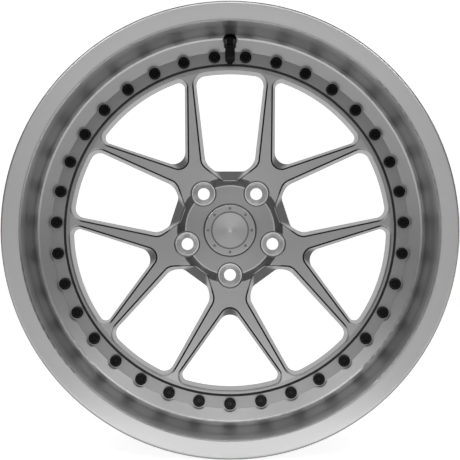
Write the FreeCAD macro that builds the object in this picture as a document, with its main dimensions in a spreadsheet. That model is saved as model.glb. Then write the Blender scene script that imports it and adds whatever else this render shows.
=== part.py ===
import FreeCAD, Part
import math
import os
import re
import Sketcher
from FreeCAD import Placement, Rotation, Vector

# Forged three-piece car wheel: +Y is the spin axis pointing inboard, -Y the outer face, +Z up.
# Inside each wheel body y is the depth behind the front of the lip; the body's Placement centres it.

doc = FreeCAD.newDocument("ForgedWheel")
sheet = doc.addObject("Spreadsheet::Sheet", "Sizes")

SIZES = (
    ("rim_diameter", 508, "bead seat diameter, nominal 20 inch"),
    ("rim_width", 254, "between the tyre flanges, nominal 10 inch"),
    ("flange_height", 17.5, "tyre flange above the bead seat"),
    ("flange_thickness", 13, "tyre flange along the axis"),
    ("flange_edge_round", 3, "front and rear edge of a tyre flange"),
    ("flange_back_round", 5, "tyre side edge of a flange"),
    ("bead_corner_round", 6.5, "between bead seat and flange"),
    ("bead_seat_width", 22, "bead seat along the axis"),
    ("bead_seat_slope", 5, "bead seat taper in degrees"),
    ("hump_height", 1.8, "safety hump above the seat's low end"),
    ("hump_run", 4.5, "half length of the hump"),
    ("hump_round", 3, "hump blend"),
    ("well_drop", 24.5, "bead seat down to the well at the joint"),
    ("seal_groove", 1.8, "chamfer on each half for the sealing bead"),
    ("lip_depth", 70, "front of the lip to its bolting face"),
    ("lip_face_width", 23.3, "flange edge to the mouth of the dish"),
    ("lip_face_fall", 2.2, "front face slopes inward by this"),
    ("lip_mouth_round", 2.5, "edge of the dish mouth"),
    ("dish_bend_drop", 8.6, "bead seat to the bend of the dish wall"),
    ("dish_bend_rise", 32, "bend of the dish wall above the bolting face"),
    ("dish_bend_round", 60, "blend of the dish wall"),
    ("dish_foot_drop", 19, "bead seat to the foot of the dish wall"),
    ("dish_foot_rise", 8.2, "foot of the dish wall above the bolting face"),
    ("dish_foot_round", 7, "fillet at the foot of the dish wall"),
    ("ledge_drop", 34.8, "bead seat to the small step round the bolting face"),
    ("ledge_height", 0.6, "height of that step"),
    ("shoulder_drop", 9, "bead seat to the tyre side shoulder of the lip"),
    ("shoulder_rise", 10, "that shoulder above the bolting face"),
    ("shoulder_round", 12, "blend of the shoulder"),
    ("joint_flange", 7, "bolting flange of lip and of barrel"),
    ("barrel_wall", 5, "barrel wall"),
    ("well_length", 23, "well behind the joint"),
    ("knee_drop", 11, "bead seat to the top of the barrel's slope"),
    ("knee_run", 34, "length of that slope"),
    ("knee_round", 25, "blend of the slope"),
    ("rear_drop", 8, "bead seat to the barrel ahead of the rear hump"),
    ("rear_run", 58, "rear edge to that place"),
    ("rear_mouth_width", 15.5, "rear face of the barrel"),
    ("disc_fit", 0.1, "clearance of the disc in the barrel's bore"),
    ("disc_gap", 1.8, "open joint between disc and lip"),
    ("disc_edge_drop", 51.4, "bead seat to the register of the disc"),
    ("disc_step", 1.5, "disc face behind the bolting face of the lip"),
    ("disc_flange_width", 16.4, "bolting flange of the disc outside its register"),
    ("disc_flange_thickness", 10, "bolting flange of the disc"),
    ("disc_face_fall", 4, "spoke face deeper at the cap than at the ring"),
    ("disc_edge_break", 1, "broken edge of the disc's ring"),
    ("ring_width", 4.8, "ring face outside the windows"),
    ("wheel_offset", 25, "hub face outboard of the rim's middle"),
    ("hub_pad_radius", 71.5, "mounting pad"),
    ("hub_flank_rise", 10.5, "spoke backs ahead of the hub face"),
    ("hub_flank_run", 2, "flank of the mounting pad"),
    ("hub_edge_round", 2.5, "edge of the mounting pad"),
    ("hub_bore_radius", 33.3, "pilot bore for the hub"),
    ("hub_bore_chamfer", 1.5, "lead-in of the pilot bore"),
    ("recess_depth", 14, "disc face at the ring down to the hub floor"),
    ("recess_radius", 56, "floor of the hub recess"),
    ("recess_angle", 39, "wall of the recess from the axis in degrees"),
    ("recess_round", 1.6, "foot of the recess wall"),
    ("ridge_round", 1.4, "ridge between the recess and a long window"),
    ("pad_pocket_depth", 8, "lightening pocket in the mounting pad"),
    ("pad_pocket_inner", 43, "inner end of that pocket from the axis"),
    ("pad_pocket_length", 22, "radial length of that pocket"),
    ("pad_pocket_near", 10, "half width of its inner end"),
    ("pad_pocket_far", 17, "half width of its outer end"),
    ("pad_pocket_round", 5, "corners of that pocket"),
    ("spoke_count", 5, "forked spokes, windows of each kind and lug holes"),
    ("window_front", 9.5, "cutting plane ahead of the disc face"),
    ("window_rear", 12, "cutting plane behind the disc flange"),
    ("window_flare", 1.2, "window outline grows to the front plane by this"),
    ("window_taper", 5.4, "window outline shrinks to the rear plane by this"),
    ("tip_reach", 86.8, "point of the three-sided window from the axis"),
    ("tip_angle", 35.2, "half angle of that point in degrees"),
    ("tip_round_front", 9.7, "rounding of the point at the front"),
    ("tip_round_rear", 15, "rounding of the point at the rear"),
    ("tip_corner_round", 11, "outer corners of the three-sided window"),
    ("root_reach", 80.7, "shoulder of the long window from the axis"),
    ("root_half", 35.3, "half width of the long window at its shoulder"),
    ("root_angle", 51.2, "inner sides of the long window in degrees"),
    ("root_round_front", 12, "rounding of the shoulder at the front plane"),
    ("root_round_rear", 20, "rounding of the shoulder at the rear plane"),
    ("side_angle", 5.9, "outer sides of the long window in degrees"),
    ("side_corner_round", 15.5, "outer corners of the long window"),
    ("end_reach_front", 53.9, "inner end of the long window at the front plane"),
    ("end_reach_rear", 74.4, "inner end of the long window at the rear plane"),
    ("end_round_front", 6, "corners of that end at the front plane"),
    ("end_round_rear", 10, "corners of that end at the rear plane"),
    ("spoke_edge_round", 2, "rounded front edges of the spokes"),
    ("lug_circle", 112, "lug hole circle"),
    ("lug_hole_radius", 7.5, "lug hole"),
    ("lug_land", 12, "lug seat above the hub face"),
    ("lug_seat_radius", 13.4, "wide end of the lug seat"),
    ("lug_seat_angle", 30, "half angle of the lug seat in degrees"),
    ("lug_pocket_radius", 16.2, "pocket for the lug wrench"),
    ("lug_pocket_round", 2, "foot of the pocket"),
    ("bolt_count", 35, "assembly bolts"),
    ("bolt_circle_drop", 41, "bead seat to the assembly bolt circle"),
    ("bolt_radius", 4, "assembly bolt shank"),
    ("bolt_clearance", 0.25, "bolt holes round the shank"),
    ("bolt_head_radius", 7.25, "bolt head"),
    ("bolt_head_height", 6.4, "bolt head"),
    ("bolt_head_round", 2.2, "domed edge of the head"),
    ("bolt_mouth_radius", 4.2, "countersunk mouth of the socket"),
    ("bolt_mouth_depth", 0.8, "countersunk mouth of the socket"),
    ("bolt_socket_width", 6, "hexagon socket across flats"),
    ("bolt_socket_depth", 4, "hexagon socket"),
    ("bolt_spare", 2.2, "bolt end past its nut"),
    ("bolt_spot_radius", 9.2, "spot face round a bolt"),
    ("washer_radius", 7.4, "washer under a nut"),
    ("washer_thickness", 1.6, "washer under a nut"),
    ("nut_width", 13, "nut across flats"),
    ("nut_height", 6.5, "assembly nut"),
    ("thread_clearance", 0.05, "nut bores round their threads"),
    ("cap_radius", 31.9, "centre cap"),
    ("cap_clearance", 0.6, "gap round the cap"),
    ("cap_seat_depth", 4, "cap seat below the hub floor"),
    ("cap_thickness", 5.2, "cap plate"),
    ("cap_edge_round", 1.2, "edge of the cap"),
    ("cap_skirt_inset", 3.1, "skirt inside the cap's edge"),
    ("cap_skirt_wall", 2.8, "skirt wall"),
    ("cap_skirt_length", 6.5, "skirt behind the cap plate"),
    ("cap_bore_length", 7, "cap bore in the disc"),
    ("cap_fit", 0.2, "skirt in the cap bore"),
    ("inlay_radius", 22.2, "plain inlay of the cap"),
    ("inlay_gap", 0.5, "gap round the inlay"),
    ("inlay_depth", 1.6, "seat of the inlay"),
    ("inlay_thickness", 2, "inlay at its edge"),
    ("inlay_cone", 0.7, "inlay dished at its middle"),
    ("cap_screw_count", 8, "small screws of the cap"),
    ("cap_screw_circle", 27, "radius of their circle"),
    ("cap_screw_head", 1.7, "head radius"),
    ("cap_screw_height", 0.9, "head height"),
    ("cap_screw_shank", 1, "shank radius"),
    ("cap_screw_length", 3.2, "shank length"),
    ("cap_screw_fit", 0.1, "screw holes round their shanks"),
    ("ring_groove_start", 1.8, "ring groove behind the cap plate"),
    ("ring_groove_width", 2.4, "ring groove"),
    ("ring_groove_depth", 1.6, "ring groove"),
    ("ring_side_gap", 0.1, "ring in its groove"),
    ("ring_corner_round", 0.8, "corners of the ring"),
    ("valve_lean", 55, "valve from the wheel axis in degrees"),
    ("valve_hole_radius", 5.65, "valve hole in the lip"),
    ("valve_wall", 4.8, "lip between the two valve seats"),
    ("valve_seat_radius", 9.4, "flat seats cut round the valve hole"),
    ("valve_seat_reach", 14, "how far the seat cuts reach"),
    ("grommet_radius", 8.2, "rubber seal inside the tyre"),
    ("grommet_thickness", 2.6, "rubber seal"),
    ("grommet_sleeve", 4.2, "seal inside the hole"),
    ("grommet_fit", 0.1, "seal in the hole and round the stem"),
    ("stem_radius", 4.1, "valve stem"),
    ("stem_head_radius", 7.6, "foot of the stem inside the tyre"),
    ("stem_head_height", 3.2, "foot of the stem"),
    ("stem_length", 33, "stem above its seat in the dish"),
    ("stem_bore", 2.6, "air way"),
    ("core_length", 19, "valve core in the stem"),
    ("core_fit", 0.1, "core in the air way"),
    ("core_pin_radius", 0.8, "core pin"),
    ("core_pin_height", 1.4, "core pin past the core"),
    ("valve_washer_radius", 8, "washer in the dish"),
    ("valve_washer_thickness", 1.5, "washer in the dish"),
    ("collar_width", 12.6, "valve nut across flats"),
    ("collar_height", 13.5, "hexagon of the valve nut"),
    ("collar_neck_radius", 5.9, "round neck of the valve nut"),
    ("collar_neck_height", 4, "round neck of the valve nut"),
    ("valve_cap_gap", 0.8, "stem showing below its cap"),
    ("valve_cap_radius", 5.6, "valve cap"),
    ("valve_cap_length", 20.5, "valve cap"),
    ("valve_cap_round", 2.4, "rounded end of the cap"),
    ("valve_cap_tip", 3.2, "top land of the cap"),
    ("valve_cap_room", 2.5, "room above the stem inside its cap"),
)
for row, (alias, number, note) in enumerate(SIZES, 1):
    sheet.set(f"A{row}", alias)
    sheet.set(f"B{row}", str(number))
    sheet.set(f"C{row}", note)
    sheet.setAlias(f"B{row}", alias)
doc.recompute()

# Sizes worked out from the sheet, written as expressions on its aliases
WIDTH = "(rim_width + 2 * flange_thickness)"
BEAD = "(rim_diameter / 2)"
EDGE = f"({BEAD} + flange_height)"
SEAT_LOW = f"({BEAD} - bead_seat_width * tan(bead_seat_slope * 1deg))"
SEAT_END = "(flange_thickness + bead_seat_width)"
WELL = f"({BEAD} - well_drop)"
JOINT = "(lip_depth + joint_flange)"
SEATING = f"({JOINT} + joint_flange)"
REGISTER = f"({BEAD} - disc_edge_drop)"
DISC_FACE = "(lip_depth + disc_step)"
DISC_BACK = f"({SEATING} + disc_flange_thickness)"
HUB_FACE = f"({WIDTH} / 2 - wheel_offset)"
HUB_FLOOR = f"({DISC_FACE} + recess_depth)"
SPOKE_BACK = f"({HUB_FACE} - hub_flank_rise)"
WINDOW_RIM = f"({REGISTER} - ring_width)"
FRONT_PLANE = f"({DISC_FACE} - window_front)"
REAR_PLANE = f"max({DISC_BACK} + window_rear; {SPOKE_BACK} + 1.5)"
BOLT_CIRCLE = f"({BEAD} - bolt_circle_drop)"
CAP_SEAT = f"({HUB_FLOOR} + cap_seat_depth)"
CAP_FACE = f"({CAP_SEAT} - cap_thickness)"
CAP_BORE = "(cap_radius - cap_skirt_inset + cap_fit)"
SKIRT = "(cap_radius - cap_skirt_inset)"
HEAD_TOP = "(lip_depth - bolt_head_height)"
NUT_SEAT = f"({DISC_BACK} + washer_thickness)"
BOLT_END = f"({NUT_SEAT} + nut_height + bolt_spare)"
STEM_FOOT = "(-valve_wall - grommet_thickness)"
COLLAR_TOP = "(valve_washer_thickness + collar_height)"
CAP_FOOT = f"({COLLAR_TOP} + collar_neck_height + valve_cap_gap)"
VALVE_RADIUS = f"({BEAD} - dish_foot_drop)"
VALVE_DEPTH = "(lip_depth - dish_foot_rise)"

ALIAS = re.compile(r"[a-z]+(?:_[a-z]+)+")


def bound(text):
    """The text as an expression on the sheet; every alias has an underscore in it."""
    return ALIAS.sub(lambda word: "Sizes." + word.group(0), text)


def value(text):
    """The number such a text stands for now."""
    result = sheet.evalExpression(bound(text))
    return float(getattr(result, "Value", result))


def plane_of(body, role):
    return next(part for part in body.Origin.OriginFeatures if part.Role == role)


def new_body(label):
    body = doc.addObject("PartDesign::Body", label)
    body.Label = label
    return body


def wheel_body(label):
    """A body drawn in depth behind the lip's front and placed about the wheel's middle."""
    body = new_body(label)
    body.setExpression("Placement.Base.y", bound(f"-{WIDTH} / 2"))
    return body


def valve_body(label):
    """A body drawn along its own +Y and placed on the leaning valve axis at the top of the dish."""
    body = new_body(label)
    body.Placement = Placement(Vector(), Rotation(Vector(1, 0, 0), 235))
    body.setExpression("Placement.Base.y", bound(f"{VALVE_DEPTH} - {WIDTH} / 2"))
    body.setExpression("Placement.Base.z", bound(VALVE_RADIUS))
    body.setExpression("Placement.Rotation.Angle", bound("180 + valve_lean"))
    return body


def new_sketch(body, name, role, turn=None, **shift):
    """A sketch on one of the body's own planes; turn is an axis and an angle, shift its offsets."""
    sketch = body.newObject("Sketcher::SketchObject", name)
    sketch.AttachmentSupport = (plane_of(body, role), "")
    sketch.MapMode = "FlatFace"
    if turn:
        sketch.AttachmentOffset = Placement(Vector(), Rotation(*turn))
    for axis, text in shift.items():
        sketch.setExpression(f"AttachmentOffset.Base.{axis}", bound(text))
    return sketch


def section_sketch(body, name):
    """A half section: x is the radius and y runs along the axis."""
    return new_sketch(body, name, "XY_Plane")


def face_sketch(body, name, depth, angle):
    """A sketch across the axis at a depth, its x pointing at an angle from +X towards +Z."""
    return new_sketch(body, name, "XZ_Plane", (Vector(0, 0, 1), angle), z=f"-({depth})")


class Plan:
    """Constraints gathered for one sketch, each with the expression that drives it."""

    def __init__(self, sketch):
        self.sketch = sketch
        self.rows = []

    def add(self, *parts, text=None):
        self.rows.append((Sketcher.Constraint(*parts), text))

    def place(self, kind, axis, geo, spot, text):
        """Holds one coordinate of a point, on either side of the sketch's origin."""
        number = value(text)
        if abs(number) < 1e-9:
            self.add("PointOnObject", geo, spot, axis)
        elif number > 0:
            self.add(kind, -1, 1, geo, spot, number, text=text)
        else:
            self.add(kind, geo, spot, -1, 1, -number, text=f"-({text})")

    def pin(self, geo, spot, across, along):
        self.place("DistanceX", -2, geo, spot, across)
        self.place("DistanceY", -1, geo, spot, along)

    def close(self):
        first = self.sketch.ConstraintCount
        self.sketch.addConstraint([row[0] for row in self.rows])
        for index, (_, text) in enumerate(self.rows, first):
            if text:
                self.sketch.setExpression(f"Constraints[{index}]", bound(text))


def arc_between(middle, one, other):
    """The short arc about a middle point, and which of its ends lies on each given point."""
    first = math.atan2(one.y - middle.y, one.x - middle.x)
    last = math.atan2(other.y - middle.y, other.x - middle.x)
    circle = Part.Circle(middle, Vector(0, 0, 1), (one - middle).Length)
    if (last - first) % (2 * math.pi) < math.pi:
        return Part.ArcOfCircle(circle, first, first + (last - first) % (2 * math.pi)), 1, 2
    return Part.ArcOfCircle(circle, last, last + (first - last) % (2 * math.pi)), 2, 1


def outline(sketch, corners):
    """A closed outline of straight runs through corners: across, along and perhaps a rounding."""
    spots = [Vector(value(corner[0]), value(corner[1]), 0) for corner in corners]
    count = len(spots)
    ways = [(spots[(i + 1) % count] - spots[i]).normalize() for i in range(count)]
    enter = list(spots)
    leave = list(spots)
    for i, corner in enumerate(corners):
        if len(corner) > 2:
            turn = ways[i - 1].getAngle(ways[i])
            cut = value(corner[2]) * math.tan(turn / 2)
            enter[i] = spots[i] - ways[i - 1] * cut
            leave[i] = spots[i] + ways[i] * cut
    runs = [Part.LineSegment(leave[i], enter[(i + 1) % count]) for i in range(count)]
    plan = Plan(sketch)
    sketch.addGeometry(runs, False)
    for i, corner in enumerate(corners):
        before = (i - 1) % count
        if len(corner) < 3:
            plan.add("Coincident", before, 2, i, 1)
            plan.pin(i, 1, corner[0], corner[1])
            continue
        bend = Vector(ways[i] - ways[before]).normalize()
        turn = ways[before].getAngle(ways[i])
        middle = spots[i] + bend * (value(corner[2]) / math.cos(turn / 2))
        curve, into, out = arc_between(middle, enter[i], leave[i])
        arc = sketch.addGeometry(curve, False)
        point = sketch.addGeometry(Part.Point(spots[i]), True)
        plan.pin(point, 1, corner[0], corner[1])
        plan.add("PointOnObject", point, 1, before)
        plan.add("PointOnObject", point, 1, i)
        plan.add("Tangent", before, 2, arc, into)
        plan.add("Tangent", i, 1, arc, out)
        plan.add("Radius", arc, value(corner[2]), text=corner[2])
    plan.close()
    return sketch


def circle(sketch, across, radius):
    """A circle on the sketch's x axis."""
    centre = Vector(value(across), 0, 0)
    geo = sketch.addGeometry(Part.Circle(centre, Vector(0, 0, 1), value(radius)), False)
    plan = Plan(sketch)
    plan.pin(geo, 3, across, "0")
    plan.add("Radius", geo, value(radius), text=radius)
    plan.close()
    return sketch


def hexagon(sketch, flats):
    """A regular hexagon about the sketch's origin with one corner on its x axis."""
    reach = value(flats) / math.sqrt(3)
    turns = [math.radians(60 * k) for k in range(7)]
    spots = [Vector(reach * math.cos(turn), reach * math.sin(turn), 0) for turn in turns]
    sketch.addGeometry([Part.LineSegment(spots[k], spots[k + 1]) for k in range(6)], False)
    ring = sketch.addGeometry(Part.Circle(Vector(), Vector(0, 0, 1), reach), True)
    plan = Plan(sketch)
    plan.add("Coincident", ring, 3, -1, 1)
    plan.add("Radius", ring, reach, text=f"({flats}) / sqrt(3)")
    plan.add("PointOnObject", 0, 1, -1)
    for k in range(6):
        plan.add("Coincident", k, 2, (k + 1) % 6, 1)
        plan.add("PointOnObject", k, 1, ring)
    for k in range(1, 5):
        plan.add("Equal", 0, k)
    plan.close()
    return sketch


def turned(body, kind, sketch):
    """A revolution or a groove of a half section about the sketch's own y axis."""
    feature = body.newObject("PartDesign::" + kind, sketch.Name + kind)
    feature.Profile = (sketch, [""])
    feature.ReferenceAxis = (sketch, ["V_Axis"])
    feature.Angle = 360
    doc.recompute()
    return feature


def turned_in_halves(body, sketch):
    """A revolution made as two half turns, which keeps the facets of its roundings even."""
    for side in ("Near", "Far"):
        feature = body.newObject("PartDesign::Revolution", sketch.Name + side)
        feature.Profile = (sketch, [""])
        feature.ReferenceAxis = (sketch, ["V_Axis"])
        feature.Angle = 180
        feature.Reversed = side == "Far"
        feature.Refine = False
        doc.recompute()


def pocket(body, sketch, length=None):
    """A pocket along +Y, right through unless a length is given."""
    feature = body.newObject("PartDesign::Pocket", sketch.Name + "Pocket")
    feature.Profile = (sketch, [""])
    feature.Type = "Length" if length else "ThroughAll"
    if length:
        feature.setExpression("Length", bound(length))
    doc.recompute()
    return feature


def round_about(body, features, count):
    """A polar pattern about the wheel's axis."""
    pattern = body.newObject("PartDesign::PolarPattern", features[0].Name + "Pattern")
    pattern.Originals = features
    pattern.Axis = (plane_of(body, "Y_Axis"), [""])
    pattern.Angle = 360
    pattern.setExpression("Occurrences", bound(count))
    body.Tip = pattern
    doc.recompute()
    return pattern


def bolt_holes(body, depth):
    """Clearance holes for the assembly bolts, the first one at the bottom."""
    sketch = circle(face_sketch(body, body.Name + "BoltHole", depth, -90), BOLT_CIRCLE,
                    "bolt_radius + bolt_clearance")
    round_about(body, [pocket(body, sketch)], "bolt_count")


def line_to_rim(foot, angle, rim, corner):
    """Where a rounding meets a side that leaves a foot point at an angle, and the window's rim."""
    way = Vector(math.cos(angle), math.sin(angle), 0)
    inward = Vector(math.sin(angle), -math.cos(angle), 0)
    base = foot + inward * corner
    along = base.dot(way)
    middle = base + way * (math.sqrt(along ** 2 - base.dot(base) + (rim - corner) ** 2) - along)
    return middle, middle - inward * corner, middle * (rim / (rim - corner))


def mirrored(spot):
    return Vector(spot.x, -spot.y, 0)


def tip_window(sketch, inset, tip_round):
    """The three-sided window between the two arms of a spoke, shrunk by an inset."""
    half = math.radians(value("tip_angle"))
    reach = f"tip_reach + ({inset}) / sin(tip_angle * 1deg)"
    rim = f"{WINDOW_RIM} - ({inset})"
    corner = f"tip_corner_round - ({inset})"
    apex = Vector(value(reach), 0, 0)
    nose = apex + Vector(value(tip_round) / math.sin(half), 0, 0)
    start = nose + Vector(-math.sin(half), math.cos(half), 0) * value(tip_round)
    middle, side_end, rim_end = line_to_rim(apex, half, value(rim), value(corner))
    curves = [
        Part.LineSegment(start, side_end),
        Part.LineSegment(mirrored(start), mirrored(side_end)),
    ]
    nose_arc, nose_up, nose_down = arc_between(nose, start, mirrored(start))
    up_arc, up_side, up_rim = arc_between(middle, side_end, rim_end)
    down_arc, down_side, down_rim = arc_between(mirrored(middle), mirrored(side_end), mirrored(rim_end))
    rim_arc, rim_up, rim_down = arc_between(Vector(), rim_end, mirrored(rim_end))
    sketch.addGeometry(curves + [nose_arc, up_arc, down_arc, rim_arc], False)
    point = sketch.addGeometry(Part.Point(apex), True)
    plan = Plan(sketch)
    plan.add("Tangent", 0, 1, 2, nose_up)
    plan.add("Tangent", 1, 1, 2, nose_down)
    plan.add("Tangent", 0, 2, 3, up_side)
    plan.add("Tangent", 1, 2, 4, down_side)
    plan.add("Tangent", 3, up_rim, 5, rim_up)
    plan.add("Tangent", 4, down_rim, 5, rim_down)
    plan.add("Coincident", 5, 3, -1, 1)
    plan.add("PointOnObject", 2, 3, -1)
    plan.pin(point, 1, reach, "0")
    plan.add("PointOnObject", point, 1, 0)
    plan.add("PointOnObject", point, 1, 1)
    plan.add("Angle", 0, half, text="tip_angle * 1deg")
    plan.add("Radius", 2, value(tip_round), text=tip_round)
    plan.add("Radius", 3, value(corner), text=corner)
    plan.add("Equal", 3, 4)
    plan.add("Radius", 5, value(rim), text=rim)
    plan.close()
    return sketch


def long_window(sketch, inset, end_reach, end_round, root_round):
    """The long window between two spokes, shrunk by an inset and ended at its own reach."""
    side = math.radians(value("side_angle"))
    root = math.radians(value("root_angle"))
    spread = "(1 + cos((root_angle - side_angle) * 1deg))"
    across = f"root_reach + ({inset}) * (sin(side_angle * 1deg) + sin(root_angle * 1deg)) / {spread}"
    along = f"root_half - ({inset}) * (cos(side_angle * 1deg) + cos(root_angle * 1deg)) / {spread}"
    rim = f"{WINDOW_RIM} - ({inset})"
    corner = f"side_corner_round - ({inset})"
    knee = Vector(value(across), value(along), 0)
    out_way = Vector(math.cos(side), math.sin(side), 0)
    root_way = Vector(math.cos(root), math.sin(root), 0)
    knee_cut = value(root_round) * math.tan((root - side) / 2)
    knee_out = knee + out_way * knee_cut
    knee_in = knee - root_way * knee_cut
    knee_middle = knee_out + Vector(math.sin(side), -math.cos(side), 0) * value(root_round)
    end = value(end_reach)
    end_spot = Vector(end, knee.y - (knee.x - end) * math.tan(root), 0)
    end_cut = value(end_round) * math.tan((math.pi / 2 - root) / 2)
    end_root = end_spot + root_way * end_cut
    end_line = end_spot - Vector(0, end_cut, 0)
    end_middle = end_line + Vector(value(end_round), 0, 0)
    middle, side_end, rim_end = line_to_rim(knee, side, value(rim), value(corner))
    end_run = Part.LineSegment(mirrored(end_line), end_line)
    sketch.addGeometry(end_run, False)
    rim_arc, rim_up, rim_down = arc_between(Vector(), rim_end, mirrored(rim_end))
    sketch.addGeometry(rim_arc, False)
    plan = Plan(sketch)
    knees = []
    for flip, end_side, rim_side in ((Vector, 2, rim_up), (mirrored, 1, rim_down)):
        root_run = Part.LineSegment(flip(end_root), flip(knee_in))
        side_run = Part.LineSegment(flip(knee_out), flip(side_end))
        end_arc, end_at_line, end_at_root = arc_between(flip(end_middle), flip(end_line), flip(end_root))
        knee_arc, knee_at_root, knee_at_side = arc_between(flip(knee_middle), flip(knee_in), flip(knee_out))
        rim_arc, rim_at_side, rim_at_rim = arc_between(flip(middle), flip(side_end), flip(rim_end))
        first = sketch.GeometryCount
        sketch.addGeometry([root_run, side_run, end_arc, knee_arc, rim_arc], False)
        point = sketch.addGeometry(Part.Point(flip(knee)), True)
        plan.add("Tangent", 0, end_side, first + 2, end_at_line)
        plan.add("Tangent", first, 1, first + 2, end_at_root)
        plan.add("Tangent", first, 2, first + 3, knee_at_root)
        plan.add("Tangent", first + 1, 1, first + 3, knee_at_side)
        plan.add("Tangent", first + 1, 2, first + 4, rim_at_side)
        plan.add("Tangent", 1, rim_side, first + 4, rim_at_rim)
        plan.add("PointOnObject", point, 1, first)
        plan.add("PointOnObject", point, 1, first + 1)
        knees.append((first, point))
    (upper, upper_knee), (lower, lower_knee) = knees
    plan.add("Coincident", 1, 3, -1, 1)
    plan.add("Radius", 1, value(rim), text=rim)
    plan.pin(upper_knee, 1, across, along)
    plan.add("Symmetric", upper_knee, 1, lower_knee, 1, -1)
    plan.add("Angle", upper + 1, side, text="side_angle * 1deg")
    plan.add("Angle", upper, root, text="root_angle * 1deg")
    plan.add("Radius", upper + 2, value(end_round), text=end_round)
    plan.add("Radius", upper + 3, value(root_round), text=root_round)
    plan.add("Radius", upper + 4, value(corner), text=corner)
    for offset in range(5):
        plan.add("Equal", upper + offset, lower + offset)
    plan.add("Vertical", 0)
    plan.add("DistanceX", -1, 1, 0, 1, end, text=end_reach)
    plan.close()
    return sketch


def drafted_cut(body, name, front, rear):
    """A window cut ruled from its outline ahead of the disc to a smaller one behind it."""
    feature = body.newObject("PartDesign::SubtractiveLoft", name)
    feature.Profile = (front, [""])
    feature.Sections = [(rear, [""])]
    feature.Ruled = True
    feature.Closed = False
    doc.recompute()
    return feature


def window_edges(shape):
    """Names of the edges where the windows break through the spoke face."""
    inner = value("cap_radius + cap_clearance") + 1
    outer = value(f"{REGISTER} - disc_edge_break") - 1
    front = [f for f in shape.Faces if f.CenterOfMass.y < value(SEATING)]
    face = max(front, key=lambda f: f.Area)
    names = []
    for index, edge in enumerate(shape.Edges, 1):
        middle = edge.valueAt((edge.FirstParameter + edge.LastParameter) / 2)
        inside = inner < math.hypot(middle.x, middle.z) < outer
        if inside and not edge.isSeam(face) and any(edge.isSame(own) for own in face.Edges):
            names.append(f"Edge{index}")
    return names


def ridge_edges(shape):
    """Names of the edges between the hub recess and the inner ends of the long windows."""
    pitch = 360 / value("spoke_count")
    names = []
    for index, edge in enumerate(shape.Edges, 1):
        middle = edge.valueAt((edge.FirstParameter + edge.LastParameter) / 2)
        turn = math.degrees(math.atan2(middle.z, middle.x)) - 90
        centred = abs((turn + pitch / 2) % pitch - pitch / 2) < 1
        inside = value("recess_radius") < math.hypot(middle.x, middle.z) < value("hub_pad_radius")
        if centred and inside and middle.y < value(HUB_FLOOR):
            names.append(f"Edge{index}")
    return names


def padded(body, sketch, length):
    """A pad towards -Y."""
    feature = body.newObject("PartDesign::Pad", sketch.Name + "Pad")
    feature.Profile = (sketch, [""])
    feature.setExpression("Length", bound(length))
    doc.recompute()
    return feature


def ring_of(label, master, count, radius):
    """Copies of a master body round the wheel as one group of solids, the first one at the bottom."""
    group = doc.addObject("Part::Feature", label)
    total = round(value(count))
    solids = []
    for step in range(total):
        solid = master.Shape.Solids[0].copy()
        solid.translate(Vector(0, 0, -value(radius)))
        solid.rotate(Vector(), Vector(0, 1, 0), 360 * step / total)
        solids.append(solid)
    group.Shape = Part.makeCompound(solids)
    group.Placement = Placement(Vector(0, -value(WIDTH) / 2, 0), Rotation())
    return group


# Outer lip: flange, bead seat, dish wall and bolting flange
lip = wheel_body("outer_lip")
outline(section_sketch(lip, "LipSection"), [
    (EDGE, "0", "flange_edge_round"),
    (EDGE, "flange_thickness", "flange_back_round"),
    (BEAD, "flange_thickness", "bead_corner_round"),
    (SEAT_LOW, SEAT_END, "hump_round"),
    (f"{SEAT_LOW} + hump_height", f"{SEAT_END} + hump_run", "hump_round"),
    (f"{SEAT_LOW} - hump_height / 2", f"{SEAT_END} + 2 * hump_run", "hump_round"),
    (f"{BEAD} - shoulder_drop", "lip_depth - shoulder_rise", "shoulder_round"),
    (WELL, f"{JOINT} - 2 * seal_groove"),
    (WELL, f"{JOINT} - seal_groove"),
    (f"{WELL} - seal_groove", JOINT),
    (f"{REGISTER} + disc_gap", JOINT),
    (f"{REGISTER} + disc_gap", "lip_depth"),
    (f"{BEAD} - ledge_drop", "lip_depth"),
    (f"{BEAD} - ledge_drop", "lip_depth - ledge_height"),
    (VALVE_RADIUS, VALVE_DEPTH, "dish_foot_round"),
    (f"{BEAD} - dish_bend_drop", "lip_depth - dish_bend_rise", "dish_bend_round"),
    (f"{EDGE} - lip_face_width", "lip_face_fall", "lip_mouth_round"),
])
turned_in_halves(lip, doc.LipSection)
spot = circle(face_sketch(lip, "LipSpotFace", "0", -90), BOLT_CIRCLE, "bolt_spot_radius")
round_about(lip, [pocket(lip, spot, "lip_depth")], "bolt_count")
bolt_holes(lip, "0")
valve_cut = new_sketch(lip, "ValveSeats", "YZ_Plane", (Vector(0, 0, 1), 145), x=VALVE_DEPTH, y=VALVE_RADIUS)
valve_cut.setExpression("AttachmentOffset.Rotation.Angle", bound("90 + valve_lean"))
outline(valve_cut, [
    ("0", "-valve_wall - valve_seat_reach"),
    ("valve_seat_radius", "-valve_wall - valve_seat_reach"),
    ("valve_seat_radius", "-valve_wall"),
    ("valve_hole_radius", "-valve_wall"),
    ("valve_hole_radius", "0"),
    ("valve_seat_radius", "0"),
    ("valve_seat_radius", "valve_seat_reach"),
    ("0", "valve_seat_reach"),
])
turned(lip, "Groove", valve_cut)

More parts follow.
